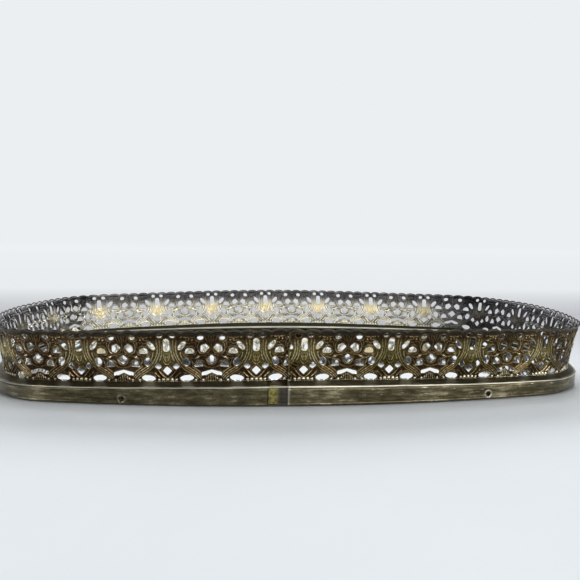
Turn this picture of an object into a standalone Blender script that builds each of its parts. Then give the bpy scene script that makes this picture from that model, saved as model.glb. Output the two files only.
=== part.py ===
"""Oval vanity tray: a mirror in a formed brass rim, with a flared pierced gallery round it.

Metres, +Z up. The tray lies on z = 0, its long axis along X and the joint of its rim and gallery
at the front, -Y. Every ring follows one plan curve, the line of the gallery's foot, at its own
offset outwards from it.
"""

import math

import bmesh
import bpy
from mathutils import Vector
from mathutils.geometry import delaunay_2d_cdt

# Plan curve: three arcs to the quarter, from the front's middle to the right-hand end
SIDE_RADIUS = 0.4744
CORNER_RADIUS = 0.0346
END_RADIUS = 0.1470
SIDE_ANGLE = math.radians(13.06)
CORNER_ANGLE = math.radians(56.09)
END_ANGLE = math.pi / 2 - SIDE_ANGLE - CORNER_ANGLE
SIDE_STEPS = 4
CORNER_STEPS = 9
END_STEPS = 4

# The stack inside the rim, from the table up; neighbours keep CLEARANCE
CLEARANCE = 0.0003
FELT_THICKNESS = 0.0007
FLANGE_THICKNESS = 0.0005
BOARD_THICKNESS = 0.0021
PAPER_THICKNESS = 0.0002
MIRROR_THICKNESS = 0.0016
BOARD_BOTTOM = 0.0018
PAPER_BOTTOM = BOARD_BOTTOM + BOARD_THICKNESS + CLEARANCE
MIRROR_BOTTOM = PAPER_BOTTOM + PAPER_THICKNESS + CLEARANCE
MIRROR_TOP = MIRROR_BOTTOM + MIRROR_THICKNESS
FELT_OFFSET = 0.0030
BOARD_OFFSET = 0.0021
MIRROR_OFFSET = 0.0006

# Rim moulding: a folded strip, open at the bottom inside
RIM_OFFSET = 0.0039
RIM_SHEET = 0.0005
RIM_BOTTOM = FELT_THICKNESS + CLEARANCE
RIM_SHOULDER = 0.0078
RIM_BEAD_TOP = 0.0084
LEDGE_TOP = 0.0095
LEDGE_OUTER = 0.0006
LEDGE_INNER = -0.0026
LIP_BOTTOM = MIRROR_TOP + CLEARANCE
FLANGE_WIDTH = 0.0025
JOINT_LEFT = -0.0152
JOINT_RIGHT = -0.0074

# Splice piece behind the rim's joint
SPLICE_SHEET = 0.0004
SPLICE_LAP = 0.0070
SPLICE_BEND = 0.0076
SPLICE_INNER = -0.0018

# Brads through the rim's face into the edge of the board
BRAD_HEIGHT = 0.00285
BRAD_RADIUS = 0.00045
BRAD_LENGTH = 0.0050
BRAD_HEAD_OFFSET = 0.0036
BRAD_HOLE_RADIUS = 0.00075
BRAD_LEFT = 0.0749
BRAD_RIGHT = 0.0798
BRAD_SIDES = 10

# Gallery: a pierced strip that leans out, and curls out near its top
GALLERY_FOOT = LEDGE_TOP + CLEARANCE
GALLERY_TOP = 0.0315
GALLERY_SHEET = 0.0007
GALLERY_LEAN = 0.0034
GALLERY_CURL = 0.0017
CURL_POWER = 5
REPEATS = 22
SEAM_SPACING = 0.536
HEAD_FROM_SLOT = 0.18
FIRST_SLOT = -0.00075
UNDERLAP = 0.0050
TAIL_SHIFT = 0.0010
TAIL_RAMP = 0.0120
SCALLOPS = 6
SCALLOP_DEPTH = 0.035
FOOT_STEPS = 8
EDGE_MARGIN = 0.0008
HOLES_LEFT_OPEN = 2  # delaunay_2d_cdt's output type that keeps only what lies between the outlines

# Piercings: name -> (across in repeats, up in heights, width, height, lean of the top),
# across counted from the axis of the upright slot
ON_SLOT_AXIS = {
    "slot": (0.0, 0.69, 0.080, 0.245, 0.0),
    "side_slot": (0.170, 0.70, 0.055, 0.210, 0.030),
    "diamond": (0.0, 0.20, 0.100, 0.190, 0.0),
    "dome": (0.210, 0.085, 0.150, 0.090, 0.0),
}
ON_FAN_AXIS = {
    "teardrop": (0.065, 0.62, 0.085, 0.170, 0.0),
    "heart": (0.0, 0.42, 0.060, 0.100, 0.0),
    "bean": (0.240, 0.585, 0.075, 0.115, 0.0),
    "whisker": (0.0, 0.17, 0.230, 0.090, 0.0),
}
DIAMONDS = {"diamond", "heart", "teardrop", "bean"}


# ---------------------------------------------------------------- plan curve

QUARTER = (
    (SIDE_RADIUS, SIDE_ANGLE, SIDE_STEPS),
    (CORNER_RADIUS, CORNER_ANGLE, CORNER_STEPS),
    (END_RADIUS, END_ANGLE, END_STEPS),
)
ARCS = (QUARTER + QUARTER[::-1]) * 2
GIRTH = sum(radius * angle for radius, angle, _ in ARCS)
REPEAT = GIRTH / (REPEATS - 1 + SEAM_SPACING)


def front_depth():
    """Distance from the tray's middle to the plan curve's front."""
    depth, turned = 0.0, 0.0
    for radius, angle, _ in QUARTER:
        depth += radius * (math.cos(turned) - math.cos(turned + angle))
        turned += angle
    return depth


def plan(along, offset):
    """Point and outward direction, `along` the plan curve from the front's middle towards +X."""
    left = along % GIRTH
    x, y, turned = 0.0, -front_depth(), 0.0
    for radius, angle, _ in ARCS:
        step = min(left / radius, angle)
        x += radius * (math.sin(turned + step) - math.sin(turned))
        y += radius * (math.cos(turned) - math.cos(turned + step))
        turned += step
        left -= radius * step
        if left <= 1e-12:
            break
    out = Vector((math.sin(turned), -math.cos(turned), 0.0))
    return Vector((x, y, 0.0)) + out * offset, out


def stations():
    """Places along the plan curve where the rings have a column of points."""
    found, start = [], 0.0
    for radius, angle, steps in ARCS:
        found += [start + radius * angle * i / steps for i in range(steps)]
        start += radius * angle
    return found


# ---------------------------------------------------------------- objects


def material(name, colour, roughness, metallic):
    made = bpy.data.materials.new(name)
    made.use_nodes = True
    shader = made.node_tree.nodes["Principled BSDF"]
    shader.inputs["Base Color"].default_value = (*colour, 1.0)
    shader.inputs["Roughness"].default_value = roughness
    shader.inputs["Metallic"].default_value = metallic
    made.diffuse_color = (*colour, 1.0)
    return made


def add_object(name, bm, finish, smooth=False):
    bmesh.ops.recalc_face_normals(bm, faces=bm.faces)
    for face in bm.faces:
        face.smooth = smooth
    mesh = bpy.data.meshes.new(name)
    bm.to_mesh(mesh)
    bm.free()
    made = bpy.data.objects.new(name, mesh)
    bpy.context.scene.collection.objects.link(made)
    if finish:
        mesh.materials.append(finish)
    return made


def plate(name, offset, bottom, thickness, finish):
    """A flat plate inside the rim, its edge parallel to the plan curve."""
    bm = bmesh.new()
    low = [bm.verts.new(plan(s, offset)[0] + Vector((0, 0, bottom))) for s in stations()]
    face = bm.faces.new(low)
    raised = bmesh.ops.extrude_face_region(bm, geom=[face])["geom"]
    moved = [item for item in raised if isinstance(item, bmesh.types.BMVert)]
    bmesh.ops.translate(bm, verts=moved, vec=(0, 0, thickness))
    return add_object(name, bm, finish)


def swept(name, section, places, finish):
    """A closed (offset, height) section swept through the places, its two ends capped."""
    bm = bmesh.new()
    rings = []
    for along in places:
        ring = [bm.verts.new(plan(along, o)[0] + Vector((0, 0, z))) for o, z in section]
        rings.append(ring)
    count = len(section)
    for ring, after in zip(rings, rings[1:]):
        for i in range(count):
            j = (i + 1) % count
            bm.faces.new((ring[i], ring[j], after[j], after[i]))
    bm.faces.new(rings[0])
    bm.faces.new(rings[-1][::-1])
    return add_object(name, bm, finish)


# ---------------------------------------------------------------- rim


def rim_section():
    """The rim's sheet, outside from the flange up to the lip, then back along the inside."""
    sheet = RIM_SHEET
    inside = RIM_OFFSET - sheet
    outer = [
        (RIM_OFFSET - FLANGE_WIDTH, RIM_BOTTOM),
        (RIM_OFFSET, RIM_BOTTOM),
        (RIM_OFFSET, RIM_SHOULDER - 0.0003),
        (RIM_OFFSET + 0.0002, RIM_SHOULDER + 0.0001),
        (RIM_OFFSET - 0.0001, RIM_BEAD_TOP),
        (RIM_OFFSET - 0.0006, RIM_BEAD_TOP),
        (LEDGE_OUTER, LEDGE_TOP),
        (LEDGE_INNER, LEDGE_TOP),
        (LEDGE_INNER, LIP_BOTTOM),
    ]
    inner = [
        (LEDGE_INNER + sheet, LIP_BOTTOM),
        (LEDGE_INNER + sheet, LEDGE_TOP - sheet),
        (LEDGE_OUTER, LEDGE_TOP - sheet),
        (inside - 0.0002, RIM_BEAD_TOP - sheet),
        (inside, RIM_SHOULDER - sheet),
        (inside, RIM_BOTTOM + FLANGE_THICKNESS),
        (RIM_OFFSET - FLANGE_WIDTH, RIM_BOTTOM + FLANGE_THICKNESS),
    ]
    return outer + inner


def rim_places():
    """Stations from the joint's right edge round to its left edge."""
    end = GIRTH + JOINT_LEFT
    spread = [s for s in stations() if 0.001 < s < end - 0.001]
    return [JOINT_RIGHT, 0.0] + spread + [end]


def brad_places():
    """Two brads at the front, two at the back and one at each end."""
    half = GIRTH / 2
    return [
        -BRAD_LEFT,
        BRAD_RIGHT,
        half / 2,
        half - BRAD_RIGHT,
        half + BRAD_LEFT,
        half * 1.5,
    ]


def lathe_inwards(bm, along, rings):
    """A solid of revolution on a brad's axis: rings are (radius, offset from the plan curve)."""
    out = plan(along, 0.0)[1]
    side = Vector((0, 0, 1)).cross(out)
    loops = []
    for radius, offset in rings:
        centre = plan(along, offset)[0] + Vector((0, 0, BRAD_HEIGHT))
        loop = []
        for i in range(BRAD_SIDES):
            turn = 2 * math.pi * (i + 0.5) / BRAD_SIDES
            spoke = side * math.cos(turn) + Vector((0, 0, 1)) * math.sin(turn)
            loop.append(bm.verts.new(centre + spoke * radius))
        loops.append(loop)
    for loop, after in zip(loops, loops[1:]):
        for i in range(BRAD_SIDES):
            j = (i + 1) % BRAD_SIDES
            bm.faces.new((loop[i], loop[j], after[j], after[i]))
    bm.faces.new(loops[0])
    bm.faces.new(loops[-1][::-1])


def brad_hole_cutter():
    bm = bmesh.new()
    deep = BRAD_HEAD_OFFSET - BRAD_LENGTH - CLEARANCE
    for along in brad_places():
        rings = [(BRAD_HOLE_RADIUS, RIM_OFFSET + 0.002), (BRAD_HOLE_RADIUS, deep)]
        lathe_inwards(bm, along, rings)
    cutter = add_object("brad_hole_cutter", bm, None)
    cutter.hide_render = True
    cutter.display_type = "WIRE"
    return cutter


def drill(target, cutter):
    cut = target.modifiers.new("brad holes", "BOOLEAN")
    cut.operation = "DIFFERENCE"
    cut.solver = "EXACT"
    cut.object = cutter


def brads(finish):
    head = BRAD_HEAD_OFFSET
    rings = [
        (BRAD_RADIUS * 0.6, head),
        (BRAD_RADIUS, head - 0.0002),
        (BRAD_RADIUS, head - BRAD_LENGTH + 0.0010),
        (BRAD_RADIUS * 0.2, head - BRAD_LENGTH),
    ]
    for number, along in enumerate(brad_places(), 1):
        bm = bmesh.new()
        lathe_inwards(bm, along, rings)
        add_object(f"rim_brad_{number}", bm, finish, smooth=True)


def splice_section():
    """The splice's sheet, CLEARANCE inside the rim's face, its sloping shoulder and its ledge."""
    sheet = SPLICE_SHEET
    face = RIM_OFFSET - RIM_SHEET - CLEARANCE
    top = LEDGE_TOP - RIM_SHEET - CLEARANCE
    outer = [
        (face, BOARD_BOTTOM),
        (face, SPLICE_BEND - 0.0004),
        (face - 0.00015, SPLICE_BEND),
        (LEDGE_OUTER - 0.0001, top - 0.00005),
        (SPLICE_INNER, top - 0.00005),
    ]
    inner = [
        (SPLICE_INNER, top - sheet),
        (LEDGE_OUTER - 0.00025, top - sheet),
        (face - sheet - 0.00005, SPLICE_BEND - 0.0003),
        (face - sheet, SPLICE_BEND - 0.0007),
        (face - sheet, BOARD_BOTTOM),
    ]
    return outer + inner


# ---------------------------------------------------------------- gallery


def gallery_profile(up):
    """Offset, height and outward normal (offset, height) at a height from 0 foot to 1 top."""
    tall = GALLERY_TOP - GALLERY_FOOT
    offset = GALLERY_LEAN * up + GALLERY_CURL * up**CURL_POWER
    slope = GALLERY_LEAN + GALLERY_CURL * CURL_POWER * up ** (CURL_POWER - 1)
    length = math.hypot(slope, tall)
    return offset, GALLERY_FOOT + tall * up, tall / length, -slope / length


def tail_shift(along):
    """How far the strip's tail steps inwards to pass behind its head."""
    start = GIRTH + JOINT_RIGHT - TAIL_RAMP
    t = min(max((along - start) / (TAIL_RAMP - EDGE_MARGIN), 0.0), 1.0)
    return TAIL_SHIFT * t * t * (3 - 2 * t)


def gallery_point(along, up, lift):
    offset, height, out, rise = gallery_profile(up)
    lift -= tail_shift(along)
    return plan(along, offset + lift * out)[0] + Vector((0, 0, height + lift * rise))


def piercing_outline(name, centre, across, up, width, height, lean):
    """Four or six corners of one piercing, as (along, up) pairs."""
    lean *= 1 if across >= 0 else -1
    if name in DIAMONDS:
        corners = [(0, -0.5), (0.5, 0), (0, 0.5), (-0.5, 0)]
    elif name == "dome":
        corners = [(-0.5, -0.5), (0.5, -0.5), (0.25, 0.5), (-0.25, 0.5)]
    elif name == "whisker":
        corners = [(-0.5, 0.5), (-0.25, -0.5), (0, 0), (0.25, -0.5), (0.5, 0.5), (0, 0.3)]
    else:
        corners = [(-0.5, -0.5), (0.5, -0.5), (0.5, 0.5), (-0.5, 0.5)]
    outline = []
    for a, b in corners:
        along = centre + (across + a * width + b * lean * 2) * REPEAT
        outline.append((along, up + b * height))
    return outline


def piercings(start, end):
    """Outlines of every piercing that lies whole between the strip's two ends."""
    found = []
    for number in range(REPEATS):
        slot = FIRST_SLOT + number * REPEAT
        for axis, holes in ((slot, ON_SLOT_AXIS), (slot + REPEAT / 2, ON_FAN_AXIS)):
            for name, (across, *rest) in holes.items():
                for side in (-1, 1) if across else (0,):
                    found.append(piercing_outline(name, axis, across * side, *rest))
    inside = []
    for outline in found:
        alongs = [along for along, _ in outline]
        if min(alongs) > start + EDGE_MARGIN and max(alongs) < end - EDGE_MARGIN:
            inside.append(outline)
    return inside


def strip_outline(start, end):
    """The strip laid flat: a straight foot, and a top edge of small scallops."""
    outline = []
    pitch = REPEAT / FOOT_STEPS
    count = round((end - start) / pitch)
    outline += [(start + (end - start) * i / count, 0.0) for i in range(count + 1)]
    pitch = REPEAT / SCALLOPS / 2
    first = math.ceil((start - FIRST_SLOT) / pitch + 0.3)
    last = math.floor((end - FIRST_SLOT) / pitch - 0.3)
    top = [(start, 1.0)]
    for i in range(first, last + 1):
        top.append((FIRST_SLOT + i * pitch, 1.0 if i % 2 else 1.0 - SCALLOP_DEPTH))
    top.append((end, 1.0))
    return outline + top[::-1]


def gallery(finish):
    start = FIRST_SLOT - HEAD_FROM_SLOT * REPEAT
    end = GIRTH + start + UNDERLAP
    loops = [strip_outline(start, end)] + [hole[::-1] for hole in piercings(start, end)]
    tall = GALLERY_TOP - GALLERY_FOOT
    flat, borders = [], []
    for loop in loops:
        first = len(flat)
        flat += [Vector((along, up * tall)) for along, up in loop]
        borders.append(list(range(first, len(flat))))
    points, _, triangles, _, _, _ = delaunay_2d_cdt(flat, [], borders, HOLES_LEFT_OPEN, 1e-7)
    bm = bmesh.new()
    outer = [bm.verts.new(gallery_point(p.x, p.y / tall, GALLERY_SHEET / 2)) for p in points]
    inner = [bm.verts.new(gallery_point(p.x, p.y / tall, -GALLERY_SHEET / 2)) for p in points]
    walls = {}
    for triangle in triangles:
        bm.faces.new([outer[i] for i in triangle])
        bm.faces.new([inner[i] for i in reversed(triangle)])
        for i, j in zip(triangle, triangle[1:] + triangle[:1]):
            walls[(i, j)] = (j, i) not in walls
            if not walls[(i, j)]:
                walls[(j, i)] = False
    for (i, j), open_edge in walls.items():
        if open_edge:
            bm.faces.new((outer[j], outer[i], inner[i], inner[j]))
    return add_object("gallery_strip", bm, finish)


# ---------------------------------------------------------------- assembly


def clear_scene():
    for existing in list(bpy.data.objects):
        bpy.data.objects.remove(existing, do_unlink=True)


def build():
    clear_scene()
    brass = material("aged_brass", (0.34, 0.28, 0.15), 0.38, 1.0)
    bright_brass = material("splice_brass", (0.52, 0.42, 0.16), 0.32, 1.0)
    silvered = material("silvered_glass", (0.90, 0.92, 0.92), 0.03, 1.0)
    hardboard = material("hardboard", (0.28, 0.18, 0.10), 0.80, 0.0)
    kraft = material("backing_paper", (0.55, 0.47, 0.36), 0.90, 0.0)
    felt = material("felt", (0.10, 0.09, 0.08), 0.95, 0.0)
    steel = material("brad_steel", (0.22, 0.20, 0.18), 0.45, 1.0)

    plate("felt_base", FELT_OFFSET, 0.0, FELT_THICKNESS, felt)
    board = plate("backing_board", BOARD_OFFSET, BOARD_BOTTOM, BOARD_THICKNESS, hardboard)
    plate("backing_paper", MIRROR_OFFSET, PAPER_BOTTOM, PAPER_THICKNESS, kraft)
    plate("mirror_plate", MIRROR_OFFSET, MIRROR_BOTTOM, MIRROR_THICKNESS, silvered)
    rim = swept("rim_moulding", rim_section(), rim_places(), brass)
    splice_ends = (JOINT_LEFT - SPLICE_LAP, JOINT_LEFT, JOINT_RIGHT, JOINT_RIGHT + SPLICE_LAP)
    swept("rim_splice", splice_section(), splice_ends, bright_brass)
    gallery(brass)
    cutter = brad_hole_cutter()
    drill(rim, cutter)
    drill(board, cutter)
    brads(steel)


build()
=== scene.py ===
"""Looks of the oblong vanity tray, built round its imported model.

Metres, +Z up, the tray on z = 0 with its long axis along X and the joint of its rim at the front,
-Y. The gallery's relief is drawn in one repeat of its pattern and wrapped round the plan curve.
Its places are in thousandths of the repeat across and of the gallery's height up. Places along the
plan curve start at the front's middle and run towards +X. Offsets are outward from the curve.
"""

import math

import bmesh
import bpy
import numpy as np
from mathutils import Matrix, Vector

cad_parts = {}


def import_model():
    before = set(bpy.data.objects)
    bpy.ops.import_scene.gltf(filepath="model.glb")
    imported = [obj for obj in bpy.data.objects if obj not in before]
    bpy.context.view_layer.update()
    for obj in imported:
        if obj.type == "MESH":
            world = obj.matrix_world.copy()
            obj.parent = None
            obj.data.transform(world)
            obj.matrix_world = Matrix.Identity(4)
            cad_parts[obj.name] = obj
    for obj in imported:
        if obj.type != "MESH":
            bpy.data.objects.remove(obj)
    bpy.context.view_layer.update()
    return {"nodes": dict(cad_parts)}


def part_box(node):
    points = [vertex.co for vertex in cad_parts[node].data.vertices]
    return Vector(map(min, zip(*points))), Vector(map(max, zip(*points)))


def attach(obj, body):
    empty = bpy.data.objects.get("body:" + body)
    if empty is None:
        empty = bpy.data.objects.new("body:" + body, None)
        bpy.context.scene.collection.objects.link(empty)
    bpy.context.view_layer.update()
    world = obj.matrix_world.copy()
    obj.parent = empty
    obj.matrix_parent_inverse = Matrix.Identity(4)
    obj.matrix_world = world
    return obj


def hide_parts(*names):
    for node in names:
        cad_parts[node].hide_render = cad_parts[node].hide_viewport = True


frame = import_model()

# Plan curve: three arcs to the quarter, from the front's middle to the right-hand end
SIDE_ARC = (0.4744, math.radians(13.06))
CORNER_ARC = (0.0346, math.radians(56.09))
END_ARC = (0.147, math.pi / 2 - math.radians(13.06 + 56.09))
ARCS = ((SIDE_ARC, CORNER_ARC, END_ARC) + (END_ARC, CORNER_ARC, SIDE_ARC)) * 2
GIRTH = sum(radius * angle for radius, angle in ARCS)

# Gallery strip
REPEATS = 22
SEAM_SPACING = 0.536
REPEAT = GIRTH / (REPEATS - 1 + SEAM_SPACING)
HALF = REPEAT / 2
FIRST_SLOT = -0.00075
HEAD_FROM_SLOT = 0.18
UNDERLAP = 0.005
TAIL_SHIFT = 0.001
TAIL_RAMP = 0.012
TAIL_SETTLED = 0.0008
GALLERY_FOOT = 0.0102
GALLERY_TOP = 0.0315
GALLERY_LEAN = 0.0034
GALLERY_CURL = 0.0017
CURL_POWER = 5
FLAT_HEIGHT = 0.0216
GALLERY_SHEET = 0.00036
FOOT_BELOW = 0.036
GRID = REPEAT / 200
GRID_PROBE = 0.1 * GRID
GRID_SNAP = 0.3 * GRID
GRID_LEAST_STEEP = 0.25
REPEATS_PER_PIECE = 2
SCALLOP_DEPTH = 0.00088
SCALLOPS = 6
SCALLOP_POWER = 0.7
GALLERY_SHARP_ANGLE = 48

# How far age has pulled the wall off level, as a sum of cosines round the tray
WARP = (-0.00015, -0.00035, 0.00111, -0.00002, 0.00025)
# A further lift near the right-hand end, its middle and width as angles, the girth being a full turn
WARP_LIFT = 0.0011
WARP_LIFT_TURN = 1.7
WARP_LIFT_WIDTH = 0.45
# The rim's face follows the warp fully above the one level and not at all below the other
WARP_START = 0.002
WARP_FULL = 0.0085

# Rim
RIM_OFFSET = 0.0039
RIM_SHEET = 0.00042
RIM_SHARP_ANGLE = 40
LEDGE_LEVEL = 0.0095
LIP_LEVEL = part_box("mirror_plate")[1].z + 0.0003
JOINT_LEFT = -0.0152
JOINT_RIGHT = -0.0074
BRAD_HEIGHT = (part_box("rim_brad_1")[0].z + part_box("rim_brad_1")[1].z) / 2
BRAD_HOLE_RADIUS = 0.001
DRILL_DEPTH = 0.003
BRAD_LEFT = 0.0749
BRAD_RIGHT = 0.0798
FACE_LEVELS = tuple(0.0017 + 0.00025 * step for step in range(20))
FACE_ROLL = 0.000016
FACE_ROLL_PITCH = 0.00026
STATIONS = 760
JOINT_STEP = 0.00015
JOINT_STEPS_RIGHT = 11
JOINT_STEPS_LEFT = 7
BRAD_STEP = 0.00017
BRAD_STEPS = 11

# Wear of the rim: waves out and up as (depth, length, seed), where they set in, and the brads' dimples
WAVE_OUT = (0.00005, 0.075, 0.8)
WAVE_UP = (0.00008, 0.052, 2.1)
FACE_WAVES_LEVEL = (0.0012, 0.0042)
FACE_WAVES_REACH = (0.0015, 0.003)
FACE_OFFSET = 0.003
DIMPLE_DEPTH = 0.0003
DIMPLE_RADIUS = 0.00085

# Raised lines along an edge: height, distance from the edge, width
TURNED_EDGE = (0.00012, 0.0004, 0.0003)
DIMPLE_RING = (0.00014, 0.0015, 0.00032)
HEAD_FOLD = (0.00036, 0.0004, 0.0003)
OPENING_LIP = (0.00022, 0.00026, 0.00018)
TOP_BORDER = (0.0003, 0.0005, 0.00034)
FOOT_BORDER = (0.0004, 0.00022, 0.00018)

# Splice: the rim's section between two ends, set in by a sheet, with a shoulder that slopes from
# foot to head, given as (offset, level)
SPLICE_LAP = 0.0068
SPLICE_SHEET = 0.00035
SPLICE_INSET = 0.0007
SPLICE_INNER_END = -0.001
SPLICE_LOWER_END = 0.0014
SPLICE_SLOPE_FOOT = (0.0025, 0.008)
SPLICE_SLOPE_HEAD = (-0.0016, LEDGE_LEVEL + 0.0005)
SPLICE_STATIONS = 60

# Section of the relief's ridges: thickness left at the ends, roundness, and length of the taper
RIDGE_END = 0.45
RIDGE_ROUNDNESS = 0.36
RIDGE_TAPER = 0.35
BEAD_POWER = 1.5

# Felt: how far each ring is set in and its share of the thickness, and the cut edge's wave
FELT_RINGS = ((0.0022, 0.0), (0.0004, 0.0), (0.0001, 0.4), (0.0002, 0.8), (0.0014, 1.0))
FELT_CLEARANCE = 0.0001
FELT_FRAY = (0.00008, 0.009, 3.0)
FELT_STATIONS = 420

# Camera, in the tray's own frame
CAMERA_PLACE = (-0.02969, -0.3387, 0.06919)
CAMERA_PITCH = 0.08382
CAMERA_YAW = 0.09087
CAMERA_ROLL = 0.01058
CAMERA_LENS = 38.685

# Floor, and the pale backdrop it runs out into
FLOOR_LEVEL = -0.0001
BACKDROP = (0.95, 0.98, 1.0, 1.0)
BACKDROP_STRENGTH = 0.88


def hump(away, width, power=2):
    """A smooth hump: 1 in its middle, falling to nothing at a distance of about two widths."""
    return np.exp(-((away / width) ** power))


def ease(value, low, high):
    """0 up to low, 1 from high on, and in a straight line between."""
    return np.clip((value - low) / (high - low), 0, 1)


def edge_line(away, height, centre, width):
    """Height of a raised line that runs at a distance of centre from an edge."""
    return height * hump(away - centre, width)


# ---- plan curve


def arc_starts():
    """Where each arc of the plan curve starts: distance, point and direction turned."""
    rows, along, turned = [], 0.0, 0.0
    x, y = 0.0, 0.0
    for radius, angle in ARCS:
        rows.append((along, x, y, turned, radius))
        x += radius * (math.sin(turned + angle) - math.sin(turned))
        y += radius * (math.cos(turned) - math.cos(turned + angle))
        along += radius * angle
        turned += angle
    table = np.array(rows)
    table[:, 2] -= table[:, 2].max() / 2
    return table


ARC_TABLE = arc_starts()


def plan(along):
    """Points of the plan curve and its outward directions, from the front's middle towards +X."""
    along = np.mod(along, GIRTH)
    row = np.searchsorted(ARC_TABLE[:, 0], along, side="right") - 1
    start, x, y, turned, radius = ARC_TABLE[row].T
    turn = turned + (along - start) / radius
    x = x + radius * (np.sin(turn) - np.sin(turned))
    y = y + radius * (np.cos(turned) - np.cos(turn))
    return x, y, np.sin(turn), -np.cos(turn)


def warp(along):
    """How far the wall stands above its true height at a place along the plan curve."""
    turn = 2 * np.pi * along / GIRTH
    level = sum(share * np.cos(order * turn) for order, share in enumerate(WARP))
    from_lift = np.mod(turn - WARP_LIFT_TURN + np.pi, 2 * np.pi) - np.pi
    return level + WARP_LIFT * hump(from_lift, WARP_LIFT_WIDTH)


# ---- distances on the flat strip


def ellipse(x, y, centre, size, tilt=0.0):
    """Distance outside an ellipse of half width and half height `size`, its width turned by tilt."""
    c, s = math.cos(math.radians(tilt)), math.sin(math.radians(tilt))
    dx, dy = x - centre[0], y - centre[1]
    px, py = (dx * c + dy * s) / size[0], (dy * c - dx * s) / size[1]
    near = np.hypot(px, py)
    slope = np.hypot(px / size[0], py / size[1])
    return near * (near - 1.0) / np.maximum(slope, 1e-9)


def to_line(x, y, a, b):
    """Distance from the line between two points, and the nearest place's share of the way."""
    ex, ey = b - a
    wx, wy = x - a[0], y - a[1]
    share = np.clip((wx * ex + wy * ey) / max(ex * ex + ey * ey, 1e-18), 0, 1)
    return np.hypot(wx - ex * share, wy - ey * share), share


def polygon(x, y, corners, rounding):
    """Distance outside a polygon grown by rounding."""
    points = np.array(corners)
    best = np.full(x.shape, np.inf)
    inside = np.zeros(x.shape, bool)
    for a, b in zip(points, np.roll(points, -1, axis=0)):
        best = np.minimum(best, to_line(x, y, a, b)[0])
        if a[1] != b[1]:
            level = (y - a[1]) / (b[1] - a[1])
            inside ^= ((a[1] > y) != (b[1] > y)) & (x < a[0] + (b[0] - a[0]) * level)
    return np.where(inside, -best, best) - rounding


def curve(points, steps=8):
    """A smooth line through the points."""
    p = np.array([points[0], *points, points[-1]], float)
    found = []
    for a, b, c, d in zip(p, p[1:], p[2:], p[3:]):
        for t in np.arange(steps) / steps:
            square = (2 * a - 5 * b + 4 * c - d) * t**2
            cube = (3 * b - a - 3 * c + d) * t**3
            found.append((2 * b + (c - a) * t + square + cube) / 2)
    return np.array(found + [p[-1]])


def ridge(x, y, points, width, height, taper=RIDGE_TAPER):
    """Height of a rounded ridge along a smooth line, thinner over the taper at its two ends."""
    line = curve(points)
    best = np.full(x.shape, np.inf)
    place = np.zeros(x.shape)
    for i, (a, b) in enumerate(zip(line, line[1:])):
        away, share = to_line(x, y, a, b)
        place = np.where(away < best, (i + share) / (len(line) - 1), place)
        best = np.minimum(away, best)
    ends = np.clip(np.minimum(place, 1 - place) / taper, 0, 1)
    thick = RIDGE_END + (1 - RIDGE_END) * np.sqrt(ends)
    return height * thick * hump(best, RIDGE_ROUNDNESS * width * thick)


def bead(x, y, centre, radius, height):
    """Height of a round bead."""
    across = np.clip(np.hypot(x - centre[0], y - centre[1]) / radius, 0, 1)
    return height * (1 - across**2) ** BEAD_POWER


# ---- the repeat

# Openings on the right of the upright slot: place, half sizes in metres, tilt in degrees
OVALS = (
    ((71, 886), (0.00112, 0.00094), -12),
    ((172, 692), (0.00225, 0.00104), 50),
    ((216, 366), (0.0015, 0.00188), 12),
    ((381, 848), (0.00128, 0.00104), 10),
    ((218, 36), (0.00285, 0.00132), 5),
)

# The low arched opening on the fan's axis
WHISKER_RIGHT = ((568, 108), (606, 112), (604, 142))
WHISKER_LEFT = ((396, 142), (394, 112), (432, 108))
WHISKER = ((500, 163), *WHISKER_RIGHT, (500, 192), *WHISKER_LEFT)

# Openings with corners: outline, and the rounding that grows it
OUTLINES = (
    (((-8, 630), (8, 630), (5, 780), (-5, 780)), 0.00108),
    (((0, 120), (38, 188), (0, 256), (-38, 188)), 0.0004),
    (((81, 268), (98, 245), (125, 278), (100, 318)), 0.00058),
    (((222, 562), (296, 566), (286, 600), (256, 622), (232, 604)), 0.00062),
    (((318, 280), (394, 292), (382, 348), (352, 380), (330, 350)), 0.00042),
    (((392, 590), (420, 575), (462, 650), (432, 700), (395, 668)), 0.00052),
    (((500, 340), (546, 410), (500, 478), (454, 410)), 0.00048),
    (WHISKER, 0.00032),
)

# Ribs that sweep from beside the slot, round the medallion, down to the palmette's foot
RIBS = (
    ((50, 700), (52, 580), (64, 470), (86, 375)),
    ((78, 800), (74, 680), (79, 560), (98, 455), (128, 355), (150, 300)),
    ((112, 800), (102, 680), (106, 560), (126, 455), (156, 360), (184, 285)),
    ((150, 560), (162, 470), (180, 400)),
    ((150, 300), (190, 215), (246, 150), (306, 85), (352, 5)),
    ((184, 285), (222, 228), (276, 168), (334, 95), (374, 20)),
    ((206, 292), (254, 238), (304, 185), (352, 115), (392, 45)),
    ((276, 268), (326, 214), (370, 150), (402, 80)),
)
RIB_WIDTH = 0.00086
RIB_HEIGHT = 0.0005
RIB_TAPER = 0.12
LOW_RIB_HEIGHT = 0.76 * RIB_HEIGHT
LOW_RIBS_START_UNDER = 500

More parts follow.
